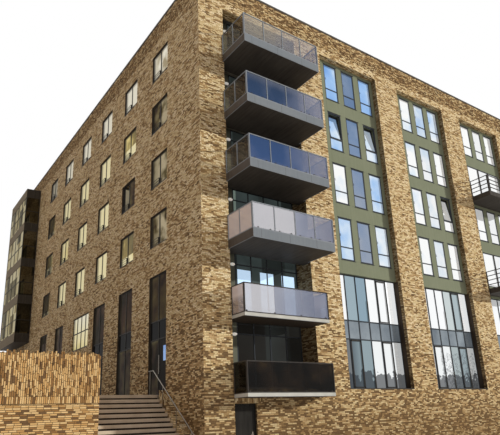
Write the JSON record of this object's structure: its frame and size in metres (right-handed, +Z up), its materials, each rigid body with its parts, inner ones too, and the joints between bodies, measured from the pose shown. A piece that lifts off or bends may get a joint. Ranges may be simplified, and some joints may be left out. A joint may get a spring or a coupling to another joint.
{
  "type": "apartment block, six storeys over a plinth",
  "caption": "Brick corner apartment block with clad window bays, a balcony stack, a glazed loggia tower and an outside stair to a terrace.",
  "frame": {"origin": "centre of the bounding box in plan, on the lowest ground level", "axes": "+Z up, +X along the front from the stair to the far end, the sunny front looks to -Y"},
  "size_m": [33.59, 34.6, 22],
  "materials": {
    "brick": "wirecut brick in mixed ochre and brown",
    "concrete": "plain cast concrete",
    "terrace_concrete": "paved concrete deck",
    "pale_concrete": "off-white painted concrete",
    "step_concrete": "light precast concrete",
    "stair_concrete": "concrete under the steps",
    "roof_felt": "grey roofing membrane",
    "coping_metal": "dark pressed metal",
    "frame_metal": "dark grey window and railing metal",
    "door_metal": "dark grey door",
    "deck_metal": "dark metal cassettes",
    "fascia_metal": "grey pressed metal",
    "cladding_metal": "olive grey cladding panels",
    "spandrel_metal": "grey panel in the glazed walls",
    "pale_panel": "pale grey green panel",
    "stack_panel": "warm grey sheet cassettes",
    "window_glass": "clear window glass",
    "rail_glass": "pale blue grey railing glass",
    "tinted_glass": "dark brown tinted railing glass",
    "lamp_glass": "white opal lamp glass",
    "steel": "satin steel handrail"
  },
  "bodies": {
    "building": {"front_wall_piers": "brick", "front_wall_bands": "brick", "lintel_walls": "brick", "side_wall_piers": "brick", "side_wall_bands": "brick", "east_wall_piers": "brick", "east_wall_bands": "brick", "rear_wall_piers": "brick", "rear_wall_bands": "brick", "loggia_returns": "brick", "podium_walls": "brick", "roof_coping": "coping_metal", "roof_slab": "roof_felt", "floor_slabs": "concrete", "terrace_deck": "terrace_concrete", "loggia_panels": "pale_panel", "loggia_window_frames": "frame_metal", "wall_lamps": "lamp_glass", "bay_cladding": "cladding_metal", "bay_window_frames": "frame_metal", "curtain_wall_frames": "frame_metal", "front_window_glass": "window_glass", "spandrel_panels": "spandrel_metal", "balcony_decks": "deck_metal", "balcony_fascias": "fascia_metal", "balcony_rails": "fascia_metal", "balcony_glass": "rail_glass", "lower_balcony_slabs": "pale_concrete", "clear_balcony_glass": "rail_glass", "tinted_balcony_glass": "tinted_glass", "dark_balcony_rails": "frame_metal", "casement_frames": "frame_metal", "casement_glass": "window_glass", "casement_rails": "frame_metal", "window_sills": "coping_metal", "street_door_frame": "door_metal", "stack_slabs": "deck_metal", "stack_posts": "frame_metal", "stack_panels": "stack_panel", "stack_glass": "window_glass", "stair_steps": "step_concrete", "stair_carriage": "stair_concrete", "handrail": "steel"},
    "street_leaf": {"street_door": "door_metal"},
    "entrance_leaf": {"entrance_door": "door_metal"}
  },
  "joints": [
    {"name": "street_door_hinge", "type": "hinge", "parent": "building", "child": "street_leaf", "pos_m": [-7.421, -15.373, 1.17], "axis": [0, 0, 1], "range_deg": [0, 90]},
    {"name": "entrance_door_hinge", "type": "hinge", "parent": "building", "child": "entrance_leaf", "pos_m": [-8.648, -12.401, 4], "axis": [0, 0, -1], "range_deg": [0, 90]}
  ]
}
